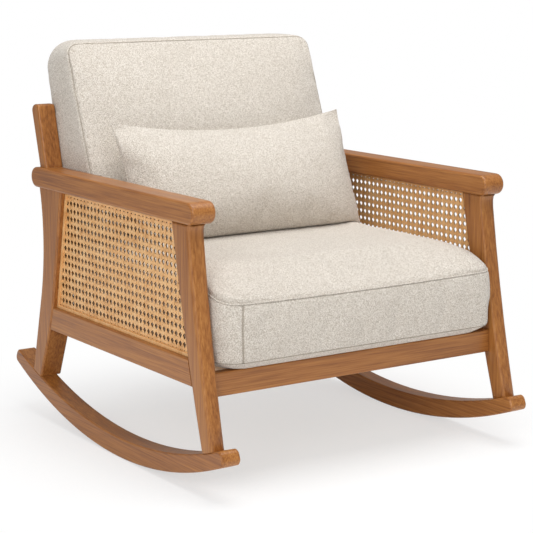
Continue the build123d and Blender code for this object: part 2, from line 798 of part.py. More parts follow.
def pillow_core(gap, mode):
    """The pillow's fibre fill, or the space for it."""
    skin = cover_wall - gap
    inset = pillow_draw + 2 * skin
    shares = (crown_shares[1], crown_shares[0])
    sections = [pillow_section(-1, share, inset, skin, None) for share in shares]
    sections += [pillow_section(1, share, inset, skin, None) for share in reversed(shares)]
    loft(sections, ruled=True, mode=mode)


with BuildPart() as pillow_cover:
    sections = [pillow_section(-1, share, 0, 0, pillow_draw) for share in reversed(crown_shares)]
    sections.append(pillow_section(1, 0, 0, 0, pillow_draw))
    sections += [pillow_section(1, share, 0, 0, pillow_draw) for share in crown_shares]
    loft(sections, ruled=True)
    pillow_core(core_fit, Mode.SUBTRACT)
with BuildPart() as pillow_fill:
    pillow_core(0, Mode.ADD)

# One file for each piece
pieces = {
    "front_rail": front_rail,
    "rear_rail": rear_rail,
    "back_top_rail": back_top_rail,
    "back_lower_rail": back_lower_rail,
    "front_cleat": front_cleat,
    "rear_cleat": rear_cleat,
    "seat_cover": seat_cover,
    "seat_foam": seat_foam,
    "back_cover": back_cover,
    "back_foam": back_foam,
    "pillow_cover": pillow_cover,
    "pillow_fill": pillow_fill,
}
left_pieces = {
    "rocker": rocker_left,
    "front_leg": front_leg_left,
    "back_post": back_post_left,
    "armrest": armrest_left,
    "side_rail": side_rail_left,
    "cane_panel": cane_panel_left,
    "cane_reed": cane_reed_left,
}
for name, piece in left_pieces.items():
    pieces[name + "_left"] = piece
    pieces[name + "_right"] = twin(piece)
for number, piece in enumerate(back_slats, start=1):
    pieces[f"back_slat_{number}"] = piece
for number, piece in enumerate(seat_slats, start=1):
    pieces[f"seat_slat_{number}"] = piece

os.makedirs("parts", exist_ok=True)
for name, piece in pieces.items():
    piece.part.label = name
    export_step(piece.part, f"parts/{name}.step")
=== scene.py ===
import json
from math import atan2, cos, pi, radians, sin, sqrt

import bpy
from mathutils import Matrix, Vector
from mathutils.bvhtree import BVHTree

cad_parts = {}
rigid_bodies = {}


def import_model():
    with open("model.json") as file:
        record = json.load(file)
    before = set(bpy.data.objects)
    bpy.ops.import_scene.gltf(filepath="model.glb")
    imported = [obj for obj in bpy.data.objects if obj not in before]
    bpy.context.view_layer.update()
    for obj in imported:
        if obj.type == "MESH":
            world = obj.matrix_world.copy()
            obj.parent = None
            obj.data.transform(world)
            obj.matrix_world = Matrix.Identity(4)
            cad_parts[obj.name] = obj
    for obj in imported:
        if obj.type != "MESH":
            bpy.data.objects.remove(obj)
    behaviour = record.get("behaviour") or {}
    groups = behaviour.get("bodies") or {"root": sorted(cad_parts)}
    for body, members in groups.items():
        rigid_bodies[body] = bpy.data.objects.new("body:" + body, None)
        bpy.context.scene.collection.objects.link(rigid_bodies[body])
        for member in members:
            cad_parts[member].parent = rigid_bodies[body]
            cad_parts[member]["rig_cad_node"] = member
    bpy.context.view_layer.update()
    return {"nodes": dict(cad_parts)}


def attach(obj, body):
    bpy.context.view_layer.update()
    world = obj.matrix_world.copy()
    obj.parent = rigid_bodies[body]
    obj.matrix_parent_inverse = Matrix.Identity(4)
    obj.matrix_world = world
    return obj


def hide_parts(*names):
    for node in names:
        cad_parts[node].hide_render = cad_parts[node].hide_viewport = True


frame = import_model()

scene = bpy.context.scene
scene.view_settings.view_transform = "Standard"


# Hand tools
def only(piece):
    """Selects one piece alone and makes it the active one."""
    if bpy.context.mode != "OBJECT":
        bpy.ops.object.mode_set(mode="OBJECT")
    bpy.ops.object.select_all(action="DESELECT")
    piece.select_set(True)
    bpy.context.view_layer.objects.active = piece


def edit(piece, kind="VERT", test=None):
    """Opens a piece in edit mode with everything selected, or just what passes the test."""
    only(piece)
    bpy.ops.object.mode_set(mode="EDIT")
    bpy.ops.mesh.select_mode(type=kind)
    bpy.ops.mesh.select_all(action="SELECT" if test is None else "DESELECT")
    if test is None:
        return
    bpy.ops.object.mode_set(mode="OBJECT")
    mesh = piece.data
    for part in {"VERT": mesh.vertices, "EDGE": mesh.edges, "FACE": mesh.polygons}[kind]:
        part.select = test(part)
    bpy.ops.object.mode_set(mode="EDIT")


def done():
    bpy.ops.object.mode_set(mode="OBJECT")


def apply_modifier(piece, kind, **settings):
    """Adds one modifier, sets it up and applies it."""
    only(piece)
    bpy.ops.object.modifier_add(type=kind)
    modifier = piece.modifiers[-1]
    for name, value in settings.items():
        setattr(modifier, name, value)
    bpy.ops.object.modifier_apply(modifier=modifier.name)


def smooth_by_angle(piece, angle=35):
    only(piece)
    bpy.ops.object.shade_smooth_by_angle(angle=radians(angle), keep_sharp_edges=False)


# Studio
photo_size = 533
camera_focal = 1695.24  # in the photograph's pixels
camera_place = Vector((-1.8663, -2.8551, 0.9662))
camera_yaw, camera_pitch, camera_roll = radians(33.388), radians(10.477), radians(-0.114)
sensor_width = 36.0

bpy.ops.object.select_all(action="DESELECT")
bpy.ops.object.camera_add()
camera = bpy.context.object
camera.name = "photo_camera"
camera.data.sensor_width = sensor_width
camera.data.lens = camera_focal * sensor_width / photo_size
camera.data.clip_end = 100
camera.matrix_world = (
    Matrix.Translation(camera_place)
    @ Matrix.Rotation(-camera_yaw, 4, "Z")
    @ Matrix.Rotation(pi / 2 - camera_pitch, 4, "X")
    @ Matrix.Rotation(camera_roll, 4, "Z")
)
scene.camera = camera


def lamp(name, place, aim, size, power):
    """A square soft box at a place, turned to what it lights."""
    bpy.ops.object.light_add(type="AREA", location=place)
    light = bpy.context.object
    light.name = name
    light.data.shape = "SQUARE"
    light.data.size = size
    light.data.energy = power
    light.rotation_euler = (Vector(aim) - Vector(place)).to_track_quat("-Z", "Y").to_euler()


lamp("soft_box_above", place=(0.1, -0.6, 3.4), aim=(0, -0.05, 0.3), size=2.6, power=94)
lamp("soft_box_left", place=(-3.05, -2.85, 2.0), aim=(0, 0, 0.4), size=2.0, power=57)

world = bpy.data.worlds.new("studio")
scene.world = world
world.use_nodes = True
nodes, links = world.node_tree.nodes, world.node_tree.links
backing = nodes["Background"]
backing.inputs["Color"].default_value = (1, 1, 1, 1)
rays = nodes.new("ShaderNodeLightPath")
seen = nodes.new("ShaderNodeMath")
seen.operation = "MAXIMUM"
links.new(rays.outputs["Is Camera Ray"], seen.inputs[0])
links.new(rays.outputs["Is Transmission Ray"], seen.inputs[1])
level = nodes.new("ShaderNodeMix")
level.inputs[2].default_value = 0.38
level.inputs[3].default_value = 1.0
links.new(seen.outputs[0], level.inputs[0])
links.new(level.outputs[0], backing.inputs["Strength"])

bpy.ops.mesh.primitive_plane_add(size=120, location=(0, 0, -0.0004))
floor = bpy.context.object
floor.name = "studio_floor"
paint = bpy.data.materials.new("floor_white")
paint.use_nodes = True
nodes, links = paint.node_tree.nodes, paint.node_tree.links
matt = nodes["Principled BSDF"]
matt.inputs["Base Color"].default_value = (0.98, 0.98, 0.98, 1)
matt.inputs["Roughness"].default_value = 0.9
matt.inputs["Specular IOR Level"].default_value = 0.0
white = nodes.new("ShaderNodeEmission")
white.inputs["Color"].default_value = (1, 1, 1, 1)
white.inputs["Strength"].default_value = 1.0
rays = nodes.new("ShaderNodeLightPath")
place = nodes.new("ShaderNodeTexCoord")
reach = nodes.new("ShaderNodeVectorMath")
reach.operation = "LENGTH"
fade = nodes.new("ShaderNodeMapRange")
fade.inputs["From Min"].default_value = 0.32
fade.inputs["From Max"].default_value = 0.85
fade.inputs["To Min"].default_value = 0.58
fade.interpolation_type = "SMOOTHSTEP"
both = nodes.new("ShaderNodeMath")
both.operation = "MULTIPLY"
blend = nodes.new("ShaderNodeMixShader")
links.new(place.outputs["Object"], reach.inputs[0])
links.new(reach.outputs["Value"], fade.inputs["Value"])
links.new(fade.outputs["Result"], both.inputs[0])
links.new(rays.outputs["Is Camera Ray"], both.inputs[1])
links.new(both.outputs[0], blend.inputs[0])
links.new(matt.outputs[0], blend.inputs[1])
links.new(white.outputs[0], blend.inputs[2])
links.new(blend.outputs[0], nodes["Material Output"].inputs["Surface"])
floor.data.materials.append(paint)


# Finishes
def srgb(red, green, blue):
    """A colour as a paint chart gives it, 0 to 255, for a shader."""
    def linear(value):
        share = value / 255
        return share / 12.92 if share <= 0.04045 else ((share + 0.055) / 1.055) ** 2.4
    return (linear(red), linear(green), linear(blue), 1)


class Finish:
    """A material with the few nodes that every finish here is mixed from."""

    def __init__(self, name):
        self.material = bpy.data.materials.new(name)
        self.material.use_nodes = True
        self.nodes = self.material.node_tree.nodes
        self.links = self.material.node_tree.links
        self.shader = self.nodes["Principled BSDF"]

    def place(self, scale, turn=(0, 0, 0)):
        """The piece's own coordinates, stretched along the grain."""
        coordinates = self.nodes.new("ShaderNodeTexCoord")
        mapping = self.nodes.new("ShaderNodeMapping")
        mapping.inputs["Scale"].default_value = scale
        mapping.inputs["Rotation"].default_value = turn
        self.links.new(coordinates.outputs["Object"], mapping.inputs["Vector"])
        return mapping.outputs["Vector"]

    def noise(self, place, scale, detail=2.0, rough=0.5, curl=0.0):
        node = self.nodes.new("ShaderNodeTexNoise")
        node.inputs["Scale"].default_value = scale
        node.inputs["Detail"].default_value = detail
        node.inputs["Roughness"].default_value = rough
        node.inputs["Distortion"].default_value = curl
        self.links.new(place, node.inputs["Vector"])
        return node.outputs["Fac"]

    def cells(self, place, scale, feature="F1"):
        node = self.nodes.new("ShaderNodeTexVoronoi")
        node.feature = feature
        node.inputs["Scale"].default_value = scale
        self.links.new(place, node.inputs["Vector"])
        return node.outputs["Distance"]

    def attribute(self, name):
        node = self.nodes.new("ShaderNodeAttribute")
        node.attribute_name = name
        return node.outputs["Fac"]

    def span(self, value, low, high, to_low=0.0, to_high=1.0):
        node = self.nodes.new("ShaderNodeMapRange")
        node.inputs["From Min"].default_value = low
        node.inputs["From Max"].default_value = high
        node.inputs["To Min"].default_value = to_low
        node.inputs["To Max"].default_value = to_high
        self.links.new(value, node.inputs["Value"])
        return node.outputs["Result"]

    def sum(self, first, second, kind="ADD"):
        node = self.nodes.new("ShaderNodeMath")
        node.operation = kind
        self.links.new(first, node.inputs[0])
        if isinstance(second, (int, float)):
            node.inputs[1].default_value = second
        else:
            self.links.new(second, node.inputs[1])
        return node.outputs[0]

    def colours(self, value, *stops):
        node = self.nodes.new("ShaderNodeValToRGB")
        ramp = node.color_ramp
        while len(ramp.elements) < len(stops):
            ramp.elements.new(0.5)
        for element, (position, colour) in zip(ramp.elements, stops):
            element.position = position
            element.color = colour
        self.links.new(value, node.inputs["Fac"])
        return node.outputs["Color"]

    def tint(self, share, first, second, kind="MIX"):
        """Two colours mixed by a share; each may be a link or a plain colour."""
        node = self.nodes.new("ShaderNodeMix")
        node.data_type = "RGBA"
        node.blend_type = kind
        for value, socket in ((share, node.inputs[0]), (first, node.inputs[6]), (second, node.inputs[7])):
            if isinstance(value, (int, float, tuple)):
                socket.default_value = value
            else:
                self.links.new(value, socket)
        return node.outputs[2]

    def bump(self, height, strength, depth):
        node = self.nodes.new("ShaderNodeBump")
        node.inputs["Strength"].default_value = strength
        node.inputs["Distance"].default_value = depth
        self.links.new(height, node.inputs["Height"])
        self.links.new(node.outputs["Normal"], self.shader.inputs["Normal"])

    def colour(self, value):
        self.links.new(value, self.shader.inputs["Base Color"])

    def roughness(self, value):
        self.links.new(value, self.shader.inputs["Roughness"])


grain_stretch = 0.022  # scale along the grain, against 1 across it


def oiled_wood(name, along, dark, middle, light):
    """Oiled hardwood whose grain runs along one axis: broad figure, fine streaks and open pores."""
    finish = Finish(name)
    stretch = [1.0, 1.0, 1.0]
    stretch[along] = grain_stretch
    grain = finish.place(stretch)
    figure = finish.noise(grain, scale=38, detail=3, rough=0.55)
    streaks = finish.noise(grain, scale=300, detail=4, rough=0.65)
    pores = finish.noise(grain, scale=760, detail=2, rough=0.5)
    tone = finish.sum(finish.span(figure, 0.3, 0.7, 0, 0.32), finish.span(streaks, 0.3, 0.7, 0, 0.68))
    base = finish.colours(tone, (0.12, dark), (0.5, middle), (0.92, light))
    open_pores = finish.span(pores, 0.60, 0.72)
    shade = finish.tint(finish.sum(open_pores, 0.42, "MULTIPLY"), base, dark)
    finish.colour(shade)
    finish.shader.inputs["Specular IOR Level"].default_value = 0.45
    finish.roughness(finish.span(streaks, 0.25, 0.75, 0.30, 0.42))
    relief = finish.sum(finish.sum(streaks, 0.6, "MULTIPLY"), finish.sum(open_pores, -0.5, "MULTIPLY"))
    finish.bump(relief, 0.35, 0.0004)
    return finish.material


show_dark, show_middle, show_light = srgb(122, 71, 31), srgb(159, 101, 48), srgb(184, 126, 66)
deck_dark, deck_middle, deck_light = srgb(176, 140, 100), srgb(204, 170, 128), srgb(222, 192, 152)
wood_across = oiled_wood("wood_across", 0, show_dark, show_middle, show_light)
wood_lengthwise = oiled_wood("wood_lengthwise", 1, show_dark, show_middle, show_light)
wood_upright = oiled_wood("wood_upright", 2, show_dark, show_middle, show_light)
deck_across = oiled_wood("deck_across", 0, deck_dark, deck_middle, deck_light)
deck_lengthwise = oiled_wood("deck_lengthwise", 1, deck_dark, deck_middle, deck_light)


def nubby_cloth(name, shadow, yarn, slub_and_highlight):
    """Heavy upholstery linen: looped yarns of two shades, with painted shade between the loops and painted
    highlight on the slubs and loop tops.
    """
    finish = Finish(name)
    cloth = finish.place((1, 1, 1))
    loops = finish.cells(cloth, 620, "SMOOTH_F1")
    fuzz = finish.noise(cloth, scale=1500, detail=3, rough=0.6)
    mottle = finish.noise(cloth, scale=390, detail=2, rough=0.6, curl=3.0)
    cloud = finish.noise(cloth, scale=9, detail=2, rough=0.5)
    # The loop pattern paints shade between the loops and highlight on their raised tops; the mottle varies
    # the yarn's own colour at random.
    tone = finish.sum(finish.span(loops, 0.1, 0.6, 0.85, 0.15), finish.span(mottle, 0.3, 0.7, -0.55, 0.55))
    base = finish.colours(tone, (0.05, shadow), (0.5, yarn), (1.0, slub_and_highlight))
    finish.colour(finish.tint(finish.span(cloud, 0.35, 0.65, 0.0, 0.08), base, shadow))
    finish.shader.inputs["Roughness"].default_value = 0.92
    finish.shader.inputs["Sheen Weight"].default_value = 0.22
    finish.shader.inputs["Sheen Roughness"].default_value = 0.5
    finish.shader.inputs["Specular IOR Level"].default_value = 0.2
    relief = finish.sum(finish.span(loops, 0.0, 0.6, 1.0, 0.0), finish.sum(fuzz, 0.5, "MULTIPLY"))
    finish.bump(relief, 0.75, 0.0012)
    return finish.material


# The seam thread is darker than the cover: partly thread, partly painted shade of the seam creases it lies
# in.
seam_thread = nubby_cloth("seam_thread", srgb(160, 149, 134), srgb(182, 171, 156), srgb(196, 186, 171))
cover_cloth = nubby_cloth("nubby_cloth", srgb(174, 163, 149), srgb(225, 217, 206), srgb(247, 242, 234))


def cane_strand(name, turn):
    """Peeled cane: glossy tan skin with fibres along the strand, and painted shade on its side walls."""
    finish = Finish(name)
    fibre = finish.place((1, 1, 0.06), (turn, 0, 0))
    fine = finish.noise(fibre, scale=900, detail=2, rough=0.5)
    patch = finish.noise(finish.place((1, 1, 1)), scale=45, detail=2, rough=0.5)
    tone = finish.sum(finish.span(fine, 0.3, 0.7, 0, 0.5), finish.span(patch, 0.3, 0.7, 0, 0.5))
    skin = finish.colours(tone, (0.1, cane_dark), (0.5, cane_middle), (0.95, cane_light))
    # The side walls are darkened towards near-black as painted shade inside the holes.
    finish.colour(finish.tint(finish.span(finish.attribute("strand_edge"), 0.05, 0.40), skin, cane_wall_painted_shade))
    finish.roughness(finish.span(fine, 0.3, 0.7, 0.34, 0.5))
    finish.bump(fine, 0.2, 0.0002)
    return finish.material


cane_dark, cane_middle, cane_light = srgb(210, 154, 92), srgb(237, 184, 122), srgb(246, 205, 150)
# Painted shade: the near-black colour of the strands' side walls, standing in for shade in the holes.
cane_wall_painted_shade = srgb(58, 32, 14)
cane_upright = cane_strand("cane_upright", 0)
cane_level = cane_strand("cane_level", pi / 2)
cane_rising = cane_strand("cane_rising", pi / 4)
cane_falling = cane_strand("cane_falling", -pi / 4)


# Frame: the CAD pieces carry the timber
def dress(material, *names):
    for name in names:
        node = frame["nodes"][name]
        if not node.material_slots:
            node.data.materials.append(material)
        for place in node.material_slots:
            place.material = material


sides = ("left", "right")
dress(wood_lengthwise, *[f"{name}_{side}" for name in ("rocker", "armrest", "side_rail") for side in sides])
dress(wood_upright, *[f"{name}_{side}" for name in ("front_leg", "back_post") for side in sides])
dress(wood_across, "front_rail", "rear_rail", "back_top_rail", "back_lower_rail")
dress(deck_across, "front_cleat", "rear_cleat")
dress(deck_lengthwise, *[f"seat_slat_{i}" for i in range(1, 8)])
dress(wood_upright, *[f"back_slat_{i}" for i in range(1, 6)])
dress(cane_level, *[f"cane_reed_{side}" for side in sides])


# Front legs: merged copies of the CAD legs, with their round edges shaded smooth
for side in sides:
    only(frame["nodes"][f"front_leg_{side}"])
    bpy.ops.object.duplicate()
    leg = bpy.context.object
    leg.name = f"front_leg_shaped_{side}"
    del leg["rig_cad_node"]
    edit(leg)
    bpy.ops.mesh.remove_doubles(threshold=0.00002)
    done()
    smooth_by_angle(leg, 50)
    apply_modifier(leg, "WEIGHTED_NORMAL", keep_sharp=True)
    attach(leg, "frame")
    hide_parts(f"front_leg_{side}")


# Cane
pitch_y, pitch_z = 0.0147, 0.01577
strand_width, strand_thick = 0.0025, 0.0027
strand_spread = 1.76  # how far the four points of the broad faces move apart
upright_steps, level_steps, slant_steps = 51, 101, 68  # cuts along a strand
upright_copies, level_copies, slant_copies = 20, 8, 56  # an upright or level copy is two pairs
weave_rows, weave_columns = 17, 38  # pitches that the uncut weave covers
slant_start = 9  # pitches by which the first slanted strand lies in front of the first pair
pair_half = 0.00116
weave_lift = 0.0003
diagonal_lift = 0.0004
first_y, first_z = -0.0710 - 16 * pitch_y, 0.4806 - 15 * pitch_z  # of the strand pairs
edge_top, edge_foot, edge_step, edge_count = 0.4866, 0.2545, 0.0023, 5  # close level strands at the edges
edge_rows = [edge_top + i * edge_step for i in range(edge_count)]
edge_rows += [edge_foot - i * edge_step for i in range(edge_count)]
cane_plane_x = 0.3395
opening = ((-0.250, 0.494), (0.188, 0.494), (0.2375, 0.249), (-0.301, 0.249))
tuck = 0.004  # how far the weave goes into the groove round the opening


def strand(length, centre, turn, steps, lift):
    """One flat strand in the panel's plane: turned from upright, waved by lift at its points."""
    bpy.ops.object.select_all(action="DESELECT")
    bpy.ops.mesh.primitive_cylinder_add(vertices=6, radius=1, depth=length)
    piece = bpy.context.object
    edit(piece, "EDGE", lambda e: abs(
        piece.data.vertices[e.vertices[0]].co.z - piece.data.vertices[e.vertices[1]].co.z) > 0.5 * length)
    bpy.ops.mesh.subdivide(number_cuts=steps)
    done()
    slant = Matrix.Rotation(turn, 3, "X")
    # Marks the side points of the strand; the cane's finish gives them painted shade.
    edge = piece.data.attributes.new("strand_edge", "FLOAT", "POINT")
    for vertex in piece.data.vertices:
        on_edge = abs(vertex.co.x) < 0.3
        edge.data[vertex.index].value = 1.0 if on_edge else 0.0
        wide = vertex.co.y if on_edge else strand_spread * vertex.co.y
        flat = Vector((vertex.co.x * strand_thick / 2, wide * strand_width / 2, vertex.co.z))
        laid = slant @ flat + Vector((0, centre[0], centre[1]))
        line = slant @ Vector((0, 0, vertex.co.z)) + Vector((0, centre[0], centre[1]))
        laid.x += lift(line.y, line.z)
        vertex.co = laid
    return piece


def join(name, *pieces):
    only(pieces[0])
    for piece in pieces[1:]:
        piece.select_set(True)
    bpy.ops.object.join()
    pieces[0].name = name
    return pieces[0]


def repeat(piece, count, step):
    apply_modifier(piece, "ARRAY", count=count, use_relative_offset=False,
                   use_constant_offset=True, constant_offset_displace=step)


def cane_weave(name):
    """Pairs of upright and level strands woven plain, with two slanted strands across each hole's corners."""
    tall, wide = weave_rows * pitch_z, weave_columns * pitch_y
    middle_y, middle_z = first_y + wide / 2, first_z + (level_copies - 0.5) * pitch_z
    slant = atan2(pitch_y, pitch_z)

    def upright_wave(row):
        return lambda y, z: weave_lift * cos(pi * (z - first_z) / pitch_z + pi * row)

    def level_wave(row):
        return lambda y, z: -weave_lift * cos(pi * (y - first_y) / pitch_y + pi * row)

    uprights = []
    for row in (0, 1):
        for side in (-1, 1):
            y = first_y + row * pitch_y + side * pair_half
            uprights.append(strand(tall, (y, middle_z), 0, upright_steps, upright_wave(row)))
    upright = join(name + "_upright", *uprights)
    repeat(upright, upright_copies, (0, 2 * pitch_y, 0))
    levels = []
    for row in (0, 1):
        for side in (-1, 1):
            z = first_z + row * pitch_z + side * pair_half
            levels.append(strand(wide, (middle_y, z), pi / 2, level_steps, level_wave(row)))
    level_part = join(name + "_level", *levels)
    repeat(level_part, level_copies, (0, 0, 2 * pitch_z))
    edging = [strand(wide, (middle_y, z), pi / 2, level_steps, level_wave(row))
              for row, z in enumerate(edge_rows)]
    level_part = join(name + "_level", level_part, *edging)
    slanted = []
    for sign in (1, -1):
        def slant_wave(y, z, sign=sign):
            return sign * diagonal_lift * cos(2 * pi * (y - first_y) / pitch_y)
        start = (first_y - slant_start * pitch_y, middle_z)
        piece = strand(tall / cos(slant), start, -sign * slant, slant_steps, slant_wave)
        repeat(piece, slant_copies, (0, pitch_y, 0))
        slanted.append(piece)
    for piece, material in ((upright, cane_upright), (level_part, cane_level),
                            (slanted[0], cane_rising), (slanted[1], cane_falling)):
        piece.data.materials.append(material)
    return join(name, upright, level_part, *slanted)


def trim(piece, corners, margin):
    """Cuts a panel in the side plane along the lines between the corners, each moved out by a margin."""
    centre = Vector((sum(c[0] for c in corners) / len(corners), sum(c[1] for c in corners) / len(corners)))
    for here, there in zip(corners, corners[1:] + corners[:1]):
        run = Vector(there) - Vector(here)
        out = Vector((run.y, -run.x)).normalized()
        if out.dot(Vector(here) - centre) < 0:
            out = -out
        point = Vector(here) + out * margin
        edit(piece)
        bpy.ops.mesh.bisect(plane_co=(0, point.x, point.y), plane_no=(0, out.x, out.y),
                            use_fill=True, clear_outer=True)
        done()


weave_left = cane_weave("cane_weave_left")
trim(weave_left, opening, tuck)
smooth_by_angle(weave_left, 60)
bpy.ops.object.duplicate()
weave_right = bpy.context.object
weave_right.name = "cane_weave_right"
for piece, x in ((weave_left, -cane_plane_x), (weave_right, cane_plane_x)):
    edit(piece)
    bpy.ops.transform.translate(value=(x, 0, 0))
    done()
    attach(piece, "frame")
    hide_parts("cane_panel_" + piece.name.split("_")[-1])


# Cushions
def ease(share):
    """From 0 to 1, level at both ends."""
    share = max(0.0, min(1.0, share))
    return share * share * (3 - 2 * share)


def round_rise(share):
    """Rise of a quarter-round crown at a share of its reach."""
    share = max(0.0, min(1.0, share))
    return sqrt(1 - (1 - share) ** 2)


def cushion_blank(name, across, along, rings, allowance):
    """Two panels from -1 to 1 and a boxing strip between them. The height counts the strip's rings down."""
    bpy.ops.object.select_all(action="DESELECT")
    bpy.ops.mesh.primitive_grid_add(x_subdivisions=across, y_subdivisions=along, size=2)
    blank = bpy.context.object
    blank.name = name
    edit(blank, "FACE")
    bpy.ops.mesh.inset(thickness=allowance)
    bpy.ops.mesh.select_all(action="SELECT")
    bpy.ops.mesh.duplicate_move(TRANSFORM_OT_translate={"value": (0, 0, -rings)})
    bpy.ops.mesh.flip_normals()
    done()
    points = blank.data.vertices

    def on_rim(edge):
        a, b = (points[i].co for i in edge.vertices)
        if a.z < -0.5 or b.z < -0.5:
            return False
        return any(abs(a[k] - b[k]) < 1e-4 and abs(a[k]) > 1 - 1e-4 for k in (0, 1))

    edit(blank, "EDGE", on_rim)
    for ring in range(rings):
        bpy.ops.mesh.extrude_region_move(TRANSFORM_OT_translate={"value": (0, 0, -1)})
    bpy.ops.mesh.select_all(action="SELECT")
    bpy.ops.mesh.remove_doubles(threshold=0.0002)
    bpy.ops.mesh.normals_make_consistent(inside=False)
    done()
    return blank


def rounded(u, v, half_wide, half_deep, corner):
    """A place in a square panel, moved into a panel with round corners."""
    x, y = abs(u) * half_wide, abs(v) * half_deep
    shell = max(abs(u), abs(v))
    bend = corner * shell ** 6
    edge_x, edge_y = shell * half_wide - bend, shell * half_deep - bend
    if x > edge_x and y > edge_y:
        run = Vector((x - edge_x, y - edge_y))
        if run.length > 1e-9:
            run *= max(run) / run.length
        x, y = edge_x + run.x, edge_y + run.y
    return x * (1 if u >= 0 else -1), y * (1 if v >= 0 else -1)


def shape(blank, place):
    """Moves each point of a blank to its place, and returns the points' panel places by index."""
    marks = []
    for vertex in blank.data.vertices:
        u, v, ring = vertex.co.x, vertex.co.y, round(-vertex.co.z)
        marks.append((u, v, ring, max(abs(u), abs(v)) > 1 - 1e-4))
        vertex.co = place(u, v, ring, marks[-1][3])
    return marks


cloth_pressure = 4.0
cloth_frames = 20


def inflate(piece, hold, growth, cap):
    """Blows the cover up against its held seams with Blender's cloth, no point further than the cap."""
    before = [vertex.co.copy() for vertex in piece.data.vertices]
    group = piece.vertex_groups.new(name="seam_hold")
    for index in range(len(before)):
        if hold(index) > 0:
            group.add([index], hold(index), "REPLACE")
    only(piece)
    bpy.ops.object.modifier_add(type="CLOTH")
    cloth = piece.modifiers[-1]
    settings = cloth.settings
    settings.quality = 6
    settings.mass = 0.3
    settings.tension_stiffness = 20
    settings.compression_stiffness = 20
    settings.shear_stiffness = 8
    settings.bending_stiffness = 0.6
    settings.use_pressure = True
    settings.uniform_pressure_force = cloth_pressure
    settings.shrink_min = -growth
    settings.vertex_group_mass = group.name
    settings.effector_weights.gravity = 0
    for frame_number in range(1, cloth_frames + 1):
        scene.frame_set(frame_number)
    bpy.ops.object.modifier_apply(modifier=cloth.name)
    scene.frame_set(1)
    for vertex, start in zip(piece.data.vertices, before):
        move = vertex.co - start
        most = cap(vertex.index)
        if move.length > most:
            vertex.co = start + move * (most / move.length)
    piece.vertex_groups.clear()


rest_clear = 0.001  # between a cushion's foot and the cushion that it stands on


def rest_on(piece, support):
    """Lifts the points that sink into what a cushion stands on, so that its foot lies flat there."""
    points = [vertex.co for vertex in support.data.vertices]
    surface = BVHTree.FromPolygons(points, [face.vertices for face in support.data.polygons])
    over = max(point.z for point in points) + rest_clear
    for vertex in piece.data.vertices:
        above = Vector((vertex.co.x, vertex.co.y, over))
        spot = surface.ray_cast(above, Vector((0, 0, -1)))[0]
        if spot is not None:
            vertex.co.z = max(vertex.co.z, spot.z + rest_clear)


def raise_seam(piece, lines):
    """Moves the points of each line out along their normals, or in where the height is negative."""
    piece.data.update()
    normals = [vertex.normal.copy() for vertex in piece.data.vertices]
    for test, height in lines:
        for index, normal in enumerate(normals):
            if test(index):
                piece.data.vertices[index].co += normal * height


def round_the_rim(piece, marks, ring, out):
    """The points of one ring in order round the cushion, each a little out from the cloth."""
    piece.data.update()
    rim = [i for i, mark in enumerate(marks) if mark[3] and mark[2] == ring]
    rim.sort(key=lambda i: atan2(marks[i][1], marks[i][0]))
    return [piece.data.vertices[i].co + piece.data.vertices[i].normal * out for i in rim]


def seam_cord(name, points, body, radius, cloth, closed=True):
    """A thin cord or thread sewn along a seam."""
    path = bpy.data.curves.new(name, "CURVE")
    path.dimensions = "3D"
    path.bevel_depth = radius
    path.bevel_resolution = 2
    line = path.splines.new("POLY")
    line.points.add(len(points) - 1)
    for point, spot in zip(line.points, points):
        point.co = (*spot, 1)
    line.use_cyclic_u = closed
    cord = bpy.data.objects.new(name, path)
    scene.collection.objects.link(cord)
    only(cord)
    bpy.ops.object.convert(target="MESH")
    bpy.ops.object.shade_smooth()
    cord.data.materials.clear()
    cord.data.materials.append(cloth)
    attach(cord, body)


def cover_finish(piece, body, fill, *nodes_replaced):
    apply_modifier(piece, "SUBSURF", levels=1, render_levels=1)
    only(piece)
    bpy.ops.object.shade_smooth()
    piece.data.materials.append(cover_cloth)
    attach(piece, body)
    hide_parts(*nodes_replaced)


# Seat cushion
seat_half_front, seat_half_rear = 0.3130, 0.3065
seat_front, seat_rear = -0.3630, 0.2465
seat_near_corner, seat_far_corner, seat_rear_corner = 0.046, 0.030, 0.006
seat_under, seat_low_seam, seat_top_seam = 0.2258, 0.2400, 0.3515
seat_turn = 0.022  # how far the underside lies in from the lower seam
seat_turn_ring = 0.12  # share of that turn at its first ring
seat_taper_start, seat_taper_run = -0.5, 1.2  # of the panel, where it narrows to the rear
seat_crown = 0.030
seat_rear_lift = 0.004
seat_side_lift, seat_lift_run = 0.0180, 0.080  # the side seams rise behind the front corners
seat_reach, seat_side_reach, seat_rear_reach = 0.095, 0.060, 0.110
seat_swell, seat_rear_swell = 0.005, 0.0005
seat_ring_shares = (0, 0.022, 0.1, 0.2, 0.3, 0.4, 0.5, 0.6, 0.7, 0.8, 0.9, 0.978, 1)
seat_low_ring = len(seat_ring_shares) - 1
seat_dip = 0.003
seat_columns = 56
seat_seam_column = 4  # of the upright seam at the front left corner
seat_corner_seam = -0.872
seam_pinch = 0.008
seat_growth = 0.012
seat_cap, seat_side_cap, seat_rear_cap = 0.022, 0.003, 0.001  # the most that the cover swells
seat_rear_from = 0.2  # of the panel, behind which the sides swell least
seat_welt_radius, seat_welt_depth = 0.0015, 0.0012
seat_foot_radius, seat_foot_depth = 0.0008, 0.0022
seat_corner_radius, seat_corner_depth = 0.0009, 0.0016
seat_seam_sink, seat_foot_sink, seat_corner_sink = 0.0050, 0.0038, 0.0045
lip_rise, lip_from = 0.0004, 0.98  # the cloth beside a seam stands up a little


